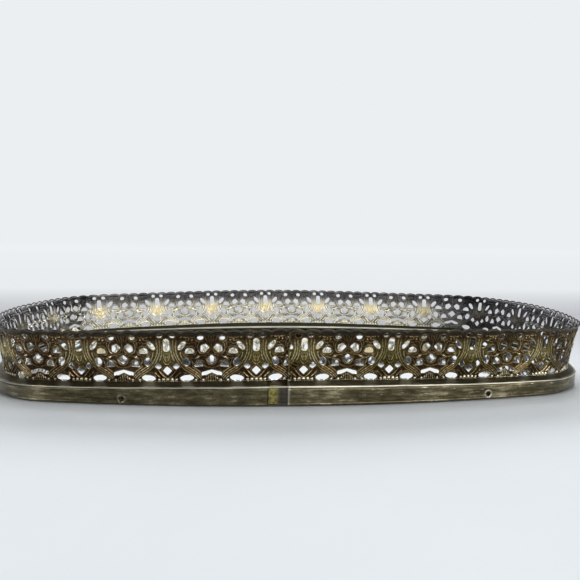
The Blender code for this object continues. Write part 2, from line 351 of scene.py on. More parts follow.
# Thinner ridges: the line, its width and its height
RIDGES = (
    # tulip under the slot
    (((40, 575), (34, 480), (14, 395), (0, 365)), 0.00075, 0.0005),
    (((0, 545), (11, 485), (0, 420)), 0.0006, 0.00036),
    (((22, 545), (20, 490), (6, 430)), 0.00055, 0.00034),
    (((46, 420), (36, 360), (12, 322), (0, 318)), 0.0006, 0.0004),
    # crossed bands under the diamond
    (((112, 215), (76, 140), (44, 80), (12, 40)), 0.00075, 0.00042),
    (((150, 158), (116, 98), (82, 46)), 0.0007, 0.00042),
    (((20, 290), (50, 240), (66, 190), (40, 120)), 0.0006, 0.00034),
    # arches over the low dome
    (((132, 0), (142, 80), (180, 118), (236, 120), (292, 70)), 0.0006, 0.0005),
    (((146, 124), (188, 152), (236, 150)), 0.00055, 0.00036),
    # medallion
    (((192, 560), (205, 510), (258, 492), (314, 510), (334, 575)), 0.0007, 0.0004),
    (((196, 630), (224, 672), (262, 686), (302, 660), (322, 605)), 0.0006, 0.0003),
    (((176, 575), (184, 510), (212, 465), (262, 455)), 0.00065, 0.00036),
    (((256, 452), (310, 436), (352, 468)), 0.00075, 0.0005),
    (((352, 468), (400, 490), (446, 474)), 0.0006, 0.0004),
    (((268, 430), (280, 370), (292, 310), (285, 262)), 0.00065, 0.00036),
    (((300, 405), (345, 412), (398, 385), (424, 330)), 0.0006, 0.00034),
    # leaves over the medallion
    (((196, 866), (222, 852), (246, 866)), 0.0006, 0.00044),
    (((212, 806), (236, 794), (262, 812)), 0.0006, 0.0005),
    (((262, 862), (286, 852), (310, 862)), 0.00056, 0.0004),
    (((272, 770), (292, 752), (316, 762)), 0.0006, 0.00046),
    (((226, 748), (246, 730), (266, 738)), 0.00056, 0.00042),
    # scrolls beside the fan
    (((372, 780), (352, 700), (352, 610), (376, 540), (420, 525)), 0.0007, 0.0005),
    (((345, 800), (328, 715), (334, 640)), 0.00055, 0.00034),
    (((322, 900), (318, 845), (336, 790), (380, 772), (420, 780)), 0.0006, 0.0003),
    (((420, 525), (458, 548), (482, 600), (480, 660)), 0.0006, 0.00036),
    (((424, 498), (452, 510), (500, 535)), 0.00055, 0.00034),
    (((436, 448), (446, 370), (470, 312), (500, 292)), 0.0006, 0.00036),
    (((412, 300), (440, 262), (500, 243)), 0.0006, 0.00036),
    # flutes of the fan
    (((500, 560), (500, 720), (500, 900)), 0.0006, 0.00034),
    (((486, 740), (474, 820), (466, 900)), 0.0005, 0.00028),
    (((458, 755), (442, 820), (432, 890)), 0.0005, 0.00028),
    # flutes of the palmette
    (((486, -20), (486, 60), (488, 120)), 0.0007, 0.00062),
    (((458, -20), (460, 40), (468, 90)), 0.0007, 0.00056),
    (((432, -20), (436, 20), (446, 55)), 0.0006, 0.00046),
)

# Berries over the medallion, the knot beside it, and the feet: place, radius, height
BEADS = (
    ((252, 834), 0.00062, 0.0004),
    ((288, 806), 0.00066, 0.00044),
    ((200, 776), 0.0006, 0.00036),
    ((168, 862), 0.00058, 0.00032),
    ((352, 468), 0.00095, 0.00085),
    ((0, 6), 0.00105, 0.00064),
    ((50, 4), 0.001, 0.0006),
    ((98, 0), 0.00085, 0.0005),
    ((320, -4), 0.0008, 0.0005),
    ((400, -4), 0.0008, 0.0005),
)

# Smooth panel round the slot, and swellings of the whole sheet at the trunk and the medallion:
# height, place, half sizes in metres, and the power that makes the panel flat-topped
PANEL = (0.00016, (0, 530), (0.17 * REPEAT, 0.24 * FLAT_HEIGHT), 4)
TRUNK = (0.00035, (0, 500), (0.0031, 0.32 * FLAT_HEIGHT))
BOSS = (0.0003, (245, 560), (0.0042, 0.0042))

# Waves of the tooling over the pattern: direction in degrees and length
TOOLING = ((18, 0.00172), (77, 0.00138), (128, 0.00155), (161, 0.00224))
TOOLING_DEPTH = 0.00009
TOOLED_FROM_HOLE = 0.0006
TOOLED_FROM_TOP = 0.0016
TOOLING_BEND = 0.0004
TOOLING_BEND_LENGTH = 0.0047

# Uneven wear of the ribs: its depth as a share, and the lengths of its waves across and up
WEAR = 0.12
WEAR_ACROSS = 0.0019
WEAR_UP = 0.0031


def to_metres(points):
    """Points in thousandths of the repeat and the height, on the flat strip."""
    return [(across / 1000 * REPEAT, up / 1000 * FLAT_HEIGHT) for across, up in points]


def folded(x):
    """Distance across from the nearest slot's axis: the pattern is the same on its two sides."""
    return np.abs(np.mod(x + HALF, REPEAT) - HALF)


def openings(x, y):
    """Distance outside the nearest opening of the repeat."""
    x = folded(x)
    best = np.full(x.shape, np.inf)
    for place, size, tilt in OVALS:
        centre = to_metres([place])[0]
        best = np.minimum(best, ellipse(x, y, centre, size, tilt))
    for outline, rounding in OUTLINES:
        best = np.minimum(best, polygon(x, y, to_metres(outline), rounding))
    return best


def top_edge(x):
    """Height of the strip's scalloped top edge on the flat strip."""
    wave = np.abs(np.sin(np.pi * SCALLOPS * x / REPEAT))
    return FLAT_HEIGHT - SCALLOP_DEPTH * (1 - wave**SCALLOP_POWER)


def metal(x, y, start, end):
    """Distance inside the metal of the strip from start to end."""
    foot = y + FOOT_BELOW * FLAT_HEIGHT
    inside = np.minimum(openings(x, y), np.minimum(top_edge(x) - y, foot))
    return np.minimum(inside, np.minimum(x - start, end - x))


def chasing(x, y):
    """Fine uneven tooling over the whole pattern, from -1 to 1."""
    high = np.zeros(x.shape)
    for number, (degrees, length) in enumerate(TOOLING):
        c, s = math.cos(math.radians(degrees)), math.sin(math.radians(degrees))
        turns = (x * s - y * c) / TOOLING_BEND_LENGTH
        bend = TOOLING_BEND * np.sin(2 * np.pi * turns + number)
        high += np.sin(2 * np.pi * (x * c + y * s + bend) / length + 1.9 * number)
    return high / len(TOOLING)


def mound(x, y, height, place, size, power=2):
    """Height of a broad swelling of the sheet."""
    centre = to_metres([place])[0]
    return height * hump(x - centre[0], size[0], power) * hump(y - centre[1], size[1], power)


def relief(x, y):
    """How far the stamped pattern stands out of the sheet, and how far the sheet itself swells."""
    x = folded(x)
    high = np.zeros(x.shape)
    worn = 1 - WEAR + WEAR * np.sin(x / WEAR_ACROSS + 2.0 * np.sin(y / WEAR_UP))
    for line in RIBS:
        tall = RIB_HEIGHT if line[0][1] > LOW_RIBS_START_UNDER else LOW_RIB_HEIGHT
        rib = ridge(x, y, to_metres(line), RIB_WIDTH, tall, RIB_TAPER)
        high = np.maximum(high, rib * worn)
    for line, width, height in RIDGES:
        high = np.maximum(high, ridge(x, y, to_metres(line), width, height))
    for place, radius, height in BEADS:
        high = np.maximum(high, bead(x, y, to_metres([place])[0], radius, height))
    hole, top, bottom = openings(x, y), top_edge(x) - y, y + FOOT_BELOW * FLAT_HEIGHT
    for away, line in ((hole, OPENING_LIP), (top, TOP_BORDER), (bottom, FOOT_BORDER)):
        high = np.maximum(high, edge_line(away, *line))
    body = ease(hole, 0, TOOLED_FROM_HOLE) * ease(top, 0, TOOLED_FROM_TOP)
    high = np.maximum(high, mound(x, y, *PANEL)) + TOOLING_DEPTH * chasing(x, y) * body
    return high, mound(x, y, *TRUNK) + mound(x, y, *BOSS)


# ---- strip mesh


def snapped(x, y, start, end):
    """Grid points with those close to an edge of the metal moved on to it, and the distances
    inside the metal."""
    inside = metal(x, y, start, end)
    step = GRID_PROBE
    slope_x = (metal(x + step, y, start, end) - metal(x - step, y, start, end)) / (2 * step)
    slope_y = (metal(x, y + step, start, end) - metal(x, y - step, start, end)) / (2 * step)
    near = np.abs(inside) < GRID_SNAP
    steep = np.maximum(slope_x**2 + slope_y**2, GRID_LEAST_STEEP)
    x = np.where(near, x - inside * slope_x / steep, x)
    y = np.where(near, y - inside * slope_y / steep, y)
    return x, y, np.where(near, 0.0, inside)


def trimmed(quads, x, y, inside):
    """The parts of the quads that lie inside the metal, and all points with the new ones."""
    faces, points_x, points_y, crossings = [], list(x), list(y), {}
    for quad in quads:
        face = []
        for a, b in zip(quad, quad[1:] + quad[:1]):
            if inside[a] >= 0:
                face.append(a)
            if inside[a] * inside[b] < 0:
                key = (min(a, b), max(a, b))
                if key not in crossings:
                    share = inside[a] / (inside[a] - inside[b])
                    crossings[key] = len(points_x)
                    points_x.append(x[a] + (x[b] - x[a]) * share)
                    points_y.append(y[a] + (y[b] - y[a]) * share)
                face.append(crossings[key])
        if len(face) > 2:
            faces.append(tuple(face))
    return faces, np.array(points_x), np.array(points_y)


def cut_grid(start, end):
    """The strip from start to end as points, and faces that follow every edge of the metal."""
    across = np.arange(math.floor(start / GRID), math.ceil(end / GRID) + 1) * GRID
    low, high = -math.ceil(FOOT_BELOW * FLAT_HEIGHT / GRID), math.ceil(FLAT_HEIGHT / GRID)
    x, y = np.meshgrid(across, np.arange(low, high + 1) * GRID)
    rows, columns = x.shape
    x, y, inside = snapped(x.ravel(), y.ravel(), start, end)
    corner = (np.arange(rows - 1)[:, None] * columns + np.arange(columns - 1)).ravel()
    quads = np.stack([corner, corner + 1, corner + columns + 1, corner + columns], 1)
    values = inside[quads]
    some = (values > 0).any(1)
    whole = quads[some & (values >= 0).all(1)].tolist()
    parts, x, y = trimmed(quads[some & (values < 0).any(1)].tolist(), x, y, inside)
    faces = whole + parts
    used = sorted({i for face in faces for i in face})
    renumber = dict(zip(used, range(len(used))))
    return x[used], y[used], [tuple(renumber[i] for i in face) for face in faces]


def walls(faces, count):
    """Faces that close the edge between the outer sheet and the inner one, `count` points on."""
    edges = {}
    for face in faces:
        for a, b in zip(face, face[1:] + face[:1]):
            if (b, a) in edges:
                del edges[(b, a)]
            else:
                edges[(a, b)] = True
    return [(b, a, a + count, b + count) for a, b in edges]


def gallery_profile(up):
    """Offset, height, and outward normal (offset, height) at a share of the gallery's height."""
    tall = GALLERY_TOP - GALLERY_FOOT
    above = np.maximum(up, 0)
    offset = GALLERY_LEAN * up + GALLERY_CURL * above**CURL_POWER
    slope = GALLERY_LEAN + GALLERY_CURL * CURL_POWER * above ** (CURL_POWER - 1)
    length = np.hypot(slope, tall)
    return offset, GALLERY_FOOT + tall * up, tall / length, -slope / length


def wrap(x, y, lift):
    """Points of the flat strip on the gallery's flared wall, lifted off it by lift."""
    along = FIRST_SLOT + x
    joint = GIRTH + JOINT_RIGHT
    t = ease(along, joint - TAIL_RAMP, joint - TAIL_SETTLED)
    lift = lift - TAIL_SHIFT * t * t * (3 - 2 * t)
    offset, height, out, rise = gallery_profile(y / FLAT_HEIGHT)
    px, py, nx, ny = plan(along)
    away = offset + lift * out
    level = height + lift * rise + warp(along)
    return np.stack([px + nx * away, py + ny * away, level], 1)


def placed(name, data):
    """A new object in the scene."""
    made = bpy.data.objects.new(name, data)
    bpy.context.scene.collection.objects.link(made)
    return made


def mesh_object(name, points, faces, attributes=(), sharp=None):
    """A smooth-shaded object; edges over `sharp` degrees stay sharp."""
    mesh = bpy.data.meshes.new(name)
    mesh.from_pydata(points.tolist(), [], faces)
    for key, values in attributes:
        made = mesh.attributes.new(key, "FLOAT", "POINT")
        made.data.foreach_set("value", np.asarray(values, np.float32))
    mesh.shade_smooth()
    if sharp:
        mesh.set_sharp_from_angle(angle=math.radians(sharp))
    return placed(name, mesh)


def bmesh_object(name, bm):
    """An object made from a bmesh, which is then freed."""
    mesh = bpy.data.meshes.new(name)
    bm.to_mesh(mesh)
    bm.free()
    return placed(name, mesh)


def gallery_piece(name, template, shift, finish):
    """One stretch of the strip: its template moved along by whole repeats and wrapped."""
    x, y, faces, high, swell = template
    outer = wrap(x + shift, y, high + swell + GALLERY_SHEET / 2)
    inner = wrap(x + shift, y, high + swell - GALLERY_SHEET / 2)
    count = len(x)
    back = [tuple(i + count for i in reversed(face)) for face in faces]
    every = list(faces) + back + walls(faces, count)
    attributes = (
        ("relief", np.tile(np.clip(high / RIB_HEIGHT, 0, 1), 2)),
        ("outside", np.repeat((1.0, 0.0), count)),
        ("up", np.tile(y / FLAT_HEIGHT, 2)),
        ("across", np.tile(folded(x) / REPEAT, 2)),
    )
    made = mesh_object(name, np.concatenate([outer, inner]), every, attributes, GALLERY_SHARP_ANGLE)
    made.data.materials.append(finish)
    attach(made, "root")
    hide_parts("gallery_strip")
    return made


def stamped(start, end):
    """The flat strip from start to end: its points, faces, relief and swelling."""
    x, y, faces = cut_grid(start, end)
    return x, y, faces, *relief(x, y)


def gallery(finish):
    """The strip in stretches, from its folded head over the lap round to its tail under it."""
    head = -HEAD_FROM_SLOT * REPEAT
    tail = head + GIRTH + UNDERLAP
    span = REPEATS_PER_PIECE * REPEAT
    first_end = HALF + REPEAT
    x, y, faces, high, swell = stamped(head, first_end)
    high = np.maximum(high, edge_line(x - head, *HEAD_FOLD))
    gallery_piece("gallery_stretch_01", (x, y, faces, high, swell), 0.0, finish)
    middle = stamped(first_end, first_end + span)
    count = int((tail - first_end) / span)
    for number in range(count):
        gallery_piece(f"gallery_stretch_{number + 2:02d}", middle, number * span, finish)
    last = stamped(first_end + count * span, tail)
    gallery_piece(f"gallery_stretch_{count + 2:02d}", last, 0.0, finish)


# ---- rim


def rim_profile():
    """The rim's outer skin in section, from the flange under it up to the lip over the mirror."""
    points = [
        (0.0014, 0.0009), (0.0033, 0.0009), (0.00372, 0.00094), (0.00396, 0.00108),
        (0.00398, 0.00132), (0.00391, 0.00154),
        *[(RIM_OFFSET + FACE_ROLL * math.sin(z / FACE_ROLL_PITCH), z) for z in FACE_LEVELS],
        (0.00384, 0.0068), (0.00379, 0.00692), (0.00378, 0.00706), (0.00384, 0.00718),
        (0.00394, 0.00728), (0.00408, 0.00742), (0.00414, 0.00762), (0.00411, 0.00784),
        (0.00399, 0.00802), (0.0038, 0.00812), (0.00358, 0.00814), (0.00338, 0.00812),
        (0.00326, 0.00816), (0.003, 0.00832), (0.0025, 0.00858), (0.0019, 0.00888),
        (0.0013, 0.0092), (0.00088, 0.0094), (0.0006, LEDGE_LEVEL - 0.00002),
        (0.0002, LEDGE_LEVEL), (-0.001, LEDGE_LEVEL), (-0.002, LEDGE_LEVEL - 0.00004),
        (-0.00222, LEDGE_LEVEL - 0.00022), (-0.00234, LEDGE_LEVEL - 0.00056),
        (-0.00246, 0.0082), (-0.00256, 0.0074), (-0.0026, 0.0069), (-0.0026, LIP_LEVEL),
    ]
    return curve(points, steps=2)


def rim_stations():
    """Places along the rim from the right edge of its joint round to the left edge, set closer
    at the joint and at the brads."""
    end = GIRTH + JOINT_LEFT
    places = [JOINT_RIGHT + (end - JOINT_RIGHT) * np.arange(STATIONS + 1) / STATIONS]
    places.append(JOINT_RIGHT + JOINT_STEP * np.arange(1, JOINT_STEPS_RIGHT + 1))
    places.append(end - JOINT_STEP * np.arange(1, JOINT_STEPS_LEFT + 1))
    close = BRAD_STEP * np.arange(-BRAD_STEPS, BRAD_STEPS + 1)
    for brad in brad_places():
        places.append(np.mod(brad + close - JOINT_RIGHT, GIRTH) + JOINT_RIGHT)
    return np.unique(np.round(np.concatenate(places), 7))


def brad_places():
    """Places of the brads: two in front, one at the right end, two behind, one at the left end."""
    half = GIRTH / 2
    back = (half - BRAD_RIGHT, half + BRAD_LEFT)
    return (-BRAD_LEFT, BRAD_RIGHT, half / 2, *back, half * 1.5)


def wander(along, depth, length, seed):
    """A gentle, repeatable wave along the tray's edge, from -depth to depth."""
    turns = 2 * np.pi * along / length
    slow = 0.5 * np.sin(turns + seed)
    quick = 0.3 * np.sin(2.3 * turns + 1.7 * seed) + 0.2 * np.sin(5.1 * turns + 0.6 * seed)
    return depth * (slow + quick)


def rim_loop(section, sheet):
    """A closed outline: the outer skin, then the inner one, a sheet's thickness in."""
    tangent = np.gradient(section, axis=0)
    tangent /= np.linalg.norm(tangent, axis=1)[:, None]
    normal = np.stack([tangent[:, 1], -tangent[:, 0]], 1)
    return np.concatenate([section, (section - normal * sheet)[::-1]])


def tube_faces(rings, count):
    """Faces of a closed tube: rings of count points, joined one to the next, with its two ends."""
    faces = []
    for first in range(0, (rings - 1) * count, count):
        for i in range(count):
            a, b = first + i, first + (i + 1) % count
            faces.append((a, b, b + count, a + count))
    last = (rings - 1) * count
    return faces + [tuple(range(count))[::-1], tuple(range(last, last + count))]


def aged(offset, level, along):
    """The swept section with gentle waves in its face, pulled off level as the wall is."""
    along = along[:, None]
    on_lip = ease(level, LIP_LEVEL, LEDGE_LEVEL)
    raised = np.where(offset < 0.0, on_lip, ease(level, WARP_START, WARP_FULL))
    on_face = ease(level, *FACE_WAVES_LEVEL) * ease(offset, *FACE_WAVES_REACH)
    out = wander(along, *WAVE_OUT) + edge_line(along - JOINT_RIGHT, *TURNED_EDGE)
    up = wander(along, *WAVE_UP)
    return offset + out * on_face, level + up * on_face + warp(along) * raised


def dimpled(offset, level, along):
    """The section sunk at each brad inside a low ring, and the ring's share at every point."""
    ring = np.zeros(level.shape)
    height, centre, width = DIMPLE_RING
    for place in brad_places():
        gap = np.mod(along - place + GIRTH / 2, GIRTH) - GIRTH / 2
        reach = np.hypot(gap[:, None], level - BRAD_HEIGHT)
        on_face = offset > FACE_OFFSET
        around = edge_line(reach, 1.0, centre, width) * on_face
        offset = offset + height * around - DIMPLE_DEPTH * hump(reach, DIMPLE_RADIUS) * on_face
        ring = np.maximum(ring, around)
    return offset, ring


def sweep(name, section, sheet, along, finish):
    """A formed strip swept along the rim, with its age and its brad dimples."""
    loop = rim_loop(section, sheet)
    flat_offset, flat_level = (np.repeat(loop[None, :, k], len(along), 0) for k in (0, 1))
    offset, level = aged(flat_offset, flat_level, along)
    offset, ring = dimpled(offset, level, along)
    px, py, nx, ny = (value[:, None] for value in plan(along))
    points = np.stack([px + nx * offset, py + ny * offset, level], 2)
    attributes = (
        ("along", np.repeat(along, len(loop))),
        ("level", flat_level.ravel()),
        ("offset", flat_offset.ravel()),
        ("ring", ring.ravel()),
    )
    faces = tube_faces(len(along), len(loop))
    made = mesh_object(name, points.reshape(-1, 3), faces, attributes, RIM_SHARP_ANGLE)
    made.data.materials.append(finish)
    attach(made, "root")
    return made


def rim(finish):
    """The rim's moulding, in one length with a joint at the front."""
    made = sweep("rim_body", rim_profile(), RIM_SHEET, rim_stations(), finish)
    drill(made)
    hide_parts("rim_moulding")


def splice(finish):
    """The strip behind the rim's joint: the rim's own section, a sheet further in."""
    section = rim_profile()
    keep = (section[:, 0] > SPLICE_INNER_END) & (section[:, 1] > SPLICE_LOWER_END)
    section = section[keep] - (SPLICE_INSET, 0.0)
    offset, level = section.T
    (foot, foot_level), (head, head_level) = SPLICE_SLOPE_FOOT, SPLICE_SLOPE_HEAD
    slope = foot_level + (head_level - foot_level) * (foot - offset) / (foot - head)
    section[:, 1] = np.where(offset < foot, np.minimum(slope, level), level)
    start, end = JOINT_LEFT - SPLICE_LAP, JOINT_RIGHT + SPLICE_LAP
    along = start + (end - start) * np.arange(SPLICE_STATIONS + 1) / SPLICE_STATIONS
    made = sweep("splice_plate", section, SPLICE_SHEET, along, finish)
    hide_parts("rim_splice")


def drill(target):
    """Cuts the round brad holes through the rim's face."""
    bm = bmesh.new()
    for along in brad_places():
        px, py, nx, ny = (float(v[0]) for v in plan(np.array([along])))
        out = Vector((nx, ny, 0))
        centre = Vector((px, py, BRAD_HEIGHT)) + out * RIM_OFFSET
        turn = out.to_track_quat("Z", "Y").to_matrix().to_4x4()
        place = Matrix.Translation(centre) @ turn
        sizes = {"radius1": BRAD_HOLE_RADIUS, "radius2": BRAD_HOLE_RADIUS, "depth": DRILL_DEPTH}
        bmesh.ops.create_cone(bm, cap_ends=True, segments=20, matrix=place, **sizes)
    cutter = bmesh_object("cutter", bm)
    cut = target.modifiers.new("brad holes", "BOOLEAN")
    cut.operation = "DIFFERENCE"
    cut.object = cutter
    graph = bpy.context.evaluated_depsgraph_get()
    done = bpy.data.meshes.new_from_object(target.evaluated_get(graph))
    target.modifiers.clear()
    target.data = done
    bpy.data.objects.remove(cutter)


# ---- felt


def felt(finish):
    """The felt glued under the board: a thin sheet with a slightly uneven cut edge."""
    low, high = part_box("felt_base")
    along = GIRTH * np.arange(FELT_STATIONS) / FELT_STATIONS
    px, py, nx, ny = plan(along)
    cut = high.x - float(px.max()) - FELT_CLEARANCE
    rings = []
    for inset, share in FELT_RINGS:
        edge = cut - inset + wander(along, *FELT_FRAY)
        level = np.full(FELT_STATIONS, low.z + (high.z - low.z) * share)
        rings.append(np.stack([px + nx * edge, py + ny * edge, level], 1))
    faces = tube_faces(len(rings), FELT_STATIONS)
    made = mesh_object("felt_sheet", np.concatenate(rings), faces)
    made.data.materials.append(finish)
    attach(made, "root")
    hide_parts("felt_base")


# ---- materials


def new_material(name, metallic):
    """A material with its node tree and its shader."""
    made = bpy.data.materials.new(name)
    made.use_nodes = True
    shader = made.node_tree.nodes["Principled BSDF"]
    shader.inputs["Metallic"].default_value = metallic
    return made, made.node_tree, shader


def finish_shader(tree, shader, colour, roughness, normal=None):
    """Joins the colour, roughness and bump to the shader."""
    for name, value in (("Base Color", colour), ("Roughness", roughness), ("Normal", normal)):
        if value is not None:
            tree.links.new(value, shader.inputs[name])


def put(tree, kind, sockets=None, **settings):
    """A new node; a socket's value is a number, a colour or another node's output."""
    made = tree.nodes.new(kind)
    for key, value in settings.items():
        setattr(made, key, value)
    for key, value in (sockets or {}).items():
        if isinstance(value, bpy.types.NodeSocket):
            tree.links.new(value, made.inputs[key])
        else:
            made.inputs[key].default_value = value
    return made


def attribute(tree, name):
    """A value kept on the mesh's points."""
    return put(tree, "ShaderNodeAttribute", attribute_name=name).outputs["Fac"]


def own_place(tree):
    """Place in the piece's own frame, which is the tray's."""
    return put(tree, "ShaderNodeTexCoord").outputs["Object"]


def place_x(tree):
    """Place along the tray's length, from its middle."""
    return put(tree, "ShaderNodeSeparateXYZ", {0: own_place(tree)}).outputs["X"]


def noise(tree, scale, detail=4.0, rough=0.55, vector=None):
    """Noise between 0 and 1, with its middle near a half."""
    where = vector or own_place(tree)
    sockets = {"Vector": where, "Scale": scale, "Detail": detail, "Roughness": rough}
    return put(tree, "ShaderNodeTexNoise", sockets).outputs["Fac"]


def stretched_noise(tree, on_rim, stretch, detail, rough):
    """Noise drawn out along the rim: `stretch` is its scale along, up and across."""
    sockets = {0: on_rim, 1: stretch}
    where = put(tree, "ShaderNodeVectorMath", sockets, operation="MULTIPLY").outputs["Vector"]
    return noise(tree, 1.0, detail, rough, where)


def maths(tree, operation, a, b=0.0, clamp=False):
    """The result of one sum on two values."""
    sockets = {0: a, 1: b}
    return put(tree, "ShaderNodeMath", sockets, operation=operation, use_clamp=clamp).outputs[0]


def times(tree, first, *others):
    """The product of the values."""
    for value in others:
        first = maths(tree, "MULTIPLY", first, value)
    return first


def plus(tree, a, b, clamp=False):
    """The sum of two values."""
    return maths(tree, "ADD", a, b, clamp)


def larger(tree, a, b):
    """The larger of two values."""
    return maths(tree, "MAXIMUM", a, b)


def away_from(tree, value, middle):
    """Distance of a value from a middle."""
    return maths(tree, "ABSOLUTE", maths(tree, "SUBTRACT", value, middle))


def ramp(tree, value, stops):
    """A colour ramp: stops are (position, colour) pairs."""
    made = put(tree, "ShaderNodeValToRGB", {"Fac": value})
    band = made.color_ramp
    while len(band.elements) < len(stops):
        band.elements.new(0.5)
    for element, (position, colour) in zip(band.elements, stops):
        element.position = position
        element.color = (*colour, 1.0)
    return made.outputs["Color"]


def spread(tree, value, low, high, to_low=0.0, to_high=1.0):
    """A value's stretch from low to high, spread over to_low to to_high and held at its ends."""
    names = ("Value", "From Min", "From Max", "To Min", "To Max")
    sockets = dict(zip(names, (value, low, high, to_low, to_high)))
    return put(tree, "ShaderNodeMapRange", sockets).outputs["Result"]


def mixed(tree, share, a, b):
    """Colour a with a share of colour b."""
    made = put(tree, "ShaderNodeMix", data_type="RGBA")
    for key, value in ((0, share), (6, a), (7, b)):
        if isinstance(value, bpy.types.NodeSocket):
            tree.links.new(value, made.inputs[key])
        else:
            made.inputs[key].default_value = value if key == 0 else (*value, 1.0)
    return made.outputs[2]


def bump(tree, height, distance, strength=1.0):
    """The normal of a surface roughened by a height."""
    sockets = {"Height": height, "Distance": distance, "Strength": strength}
    return put(tree, "ShaderNodeBump", sockets).outputs["Normal"]


def gallery_outside(tree, level, up, across):
    """Colour of the side that shows: brown, more olive round the slots and to the right, painted
    shade nearly black along the top edge, and a painted pale highlight at the foot."""
    # Dark patina in the hollows rising to polished brass on the crests; the palest stops also paint a
    # highlight along the rib crests.
    brown = (
        (0.02, (0.03, 0.018, 0.01)),
        (0.3, (0.098, 0.064, 0.033)),
        (0.66, (0.225, 0.165, 0.078)),
        (1.0, (0.7, 0.6, 0.41)),
    )
    olive = (
        (0.02, (0.045, 0.034, 0.012)),
        (0.3, (0.104, 0.08, 0.026)),
        (0.66, (0.205, 0.164, 0.06)),
        (1.0, (0.62, 0.54, 0.33)),
    )
    by_slot = spread(tree, across, 0.12, 0.26, 1.0, 0.0)
    middle = spread(tree, away_from(tree, up, 0.5), 0.12, 0.34, 1.0, 0.0)
    rightward = spread(tree, place_x(tree), -0.12, 0.1, 0.0, 0.36)
    share = plus(tree, times(tree, by_slot, middle), rightward)
    tint = spread(tree, noise(tree, 30.0, 2.0), 0.35, 0.6, 0.5, 1.1)
    share = maths(tree, "MULTIPLY", share, tint, clamp=True)
    colour = mixed(tree, share, ramp(tree, level, brown), ramp(tree, level, olive))
    # Painted shade: the flared top edge is darkened nearly to black, less on the crests.
    brink = spread(tree, up, 0.86, 0.95, 0.0, 0.75)
    brink = times(tree, brink, spread(tree, level, 0.3, 1.0, 1.0, 0.4))
    colour = mixed(tree, brink, colour, (0.045, 0.045, 0.038))
    # Painted highlight: pale gold along the foot, stronger towards the right.
    foot = times(tree, spread(tree, up, 0.0, 0.1, 1.0, 0.0), spread(tree, level, 0.25, 0.8))
    foot = times(tree, foot, spread(tree, place_x(tree), -0.1, 0.06, 0.25, 0.9))
    return mixed(tree, foot, colour, (0.98, 0.93, 0.74))


def gallery_inside(tree, high, up, across, blotch, fine):
    """Colour of the sheltered side that faces the mirror: pale low down with painted highlights on
    the ribs, gilt round the slots, and painted shade towards the flared edge and at the two ends of
    the tray."""
    level = plus(tree, times(tree, blotch, 0.24), times(tree, fine, 0.08))
    level = plus(tree, level, times(tree, high, 0.68))
    # Grey brass rising to pale on the ribs: the pale stops paint the ribs' highlights.
    brass_and_glint_stops = ((0.22, (0.24, 0.23, 0.2)), (0.38, (0.62, 0.6, 0.52)), (0.58, (0.98, 0.95, 0.82)))
    by_slot = spread(tree, across, 0.03, 0.125, 1.0, 0.0)
    middle = spread(tree, away_from(tree, up, 0.48), 0.08, 0.26, 0.62, 0.0)
    gilt = times(tree, by_slot, middle)
    colour = mixed(tree, gilt, ramp(tree, level, brass_and_glint_stops), (0.8, 0.67, 0.34))
    # Painted shade over the upper wall, patchy, nearly black by the flared edge.
    patchy = spread(tree, blotch, 0.35, 0.6, 0.8, 0.97)
    shade = times(tree, spread(tree, up, 0.48, 0.8), patchy)
    colour = mixed(tree, shade, colour, (0.07, 0.067, 0.072))
    # Painted shade at the two ends of the tray, where the wall turns from the light.
    right_end = spread(tree, place_x(tree), 0.09, 0.124, 0.0, 0.88)
    left_end = spread(tree, place_x(tree), -0.142, -0.126, 0.45, 0.0)
    ends = larger(tree, right_end, left_end)
    return mixed(tree, ends, colour, (0.06, 0.058, 0.062))


def gallery_brass():
    """Stamped brass: dark in the hollows and pale on the crests, partly a painted highlight,
    its two sides unlike.
    """
    made, tree, shader = new_material("gallery_brass", 1.0)
    high = attribute(tree, "relief")
    up = attribute(tree, "up")
    across = attribute(tree, "across")
    outside = attribute(tree, "outside")
    blotch = noise(tree, 70.0, 3.0)
    fine = noise(tree, 900.0, 4.0, 0.6)
    level = plus(tree, high, spread(tree, blotch, 0.3, 0.7, -0.18, 0.18))
    level = plus(tree, level, spread(tree, fine, 0.3, 0.7, -0.1, 0.1), clamp=True)
    outer = gallery_outside(tree, level, up, across)
    inner = gallery_inside(tree, high, up, across, blotch, fine)
    rough = spread(tree, outside, 0.0, 1.0, 0.29, spread(tree, level, 0.0, 1.0, 0.46, 0.2))
    tooth = bump(tree, fine, 0.00008, spread(tree, outside, 0.0, 1.0, 0.2, 1.0))
    finish_shader(tree, shader, mixed(tree, outside, inner, outer), rough, tooth)
    return made


def scuffs(tree, on_rim, level):
    """Share of short pale scratches along the rim's face, most of them on its right-hand half."""
    mark = spread(tree, stretched_noise(tree, on_rim, (230.0, 1500.0, 1.0), 4.0, 0.6), 0.62, 0.68)
    rightward = spread(tree, place_x(tree), -0.06, 0.1, 0.15, 0.75)
    from_foot = spread(tree, level, 0.0036, 0.0048)
    to_top = spread(tree, level, 0.0068, 0.0071, 1.0, 0.0)
    return times(tree, mark, from_foot, rightward, to_top)


def rubbed_and_highlight_share(tree, on_rim, level, blotch):
    """Share of pale colour on the rim: its bead and the rings round the brads, rubbed brass with a
    painted highlight, and scratches.
    """
    # Bead line: rubbed brass and a painted highlight, brighter towards the right where the light
    # falls.
    bead_line = spread(tree, away_from(tree, level, 0.00765), 0.00014, 0.00048, 1.0, 0.0)
    rightward = spread(tree, place_x(tree), -0.13, 0.02, 0.55, 1.0)
    bead_line = times(tree, bead_line, rightward, spread(tree, blotch, 0.36, 0.55, 0.55, 1.0))
    share = larger(tree, bead_line, scuffs(tree, on_rim, level))
    # Rings round the brads: rubbed brass and a painted highlight, brighter towards the right.
    ring_share = spread(tree, place_x(tree), -0.08, 0.08, 0.12, 0.42)
    return larger(tree, share, times(tree, attribute(tree, "ring"), ring_share))


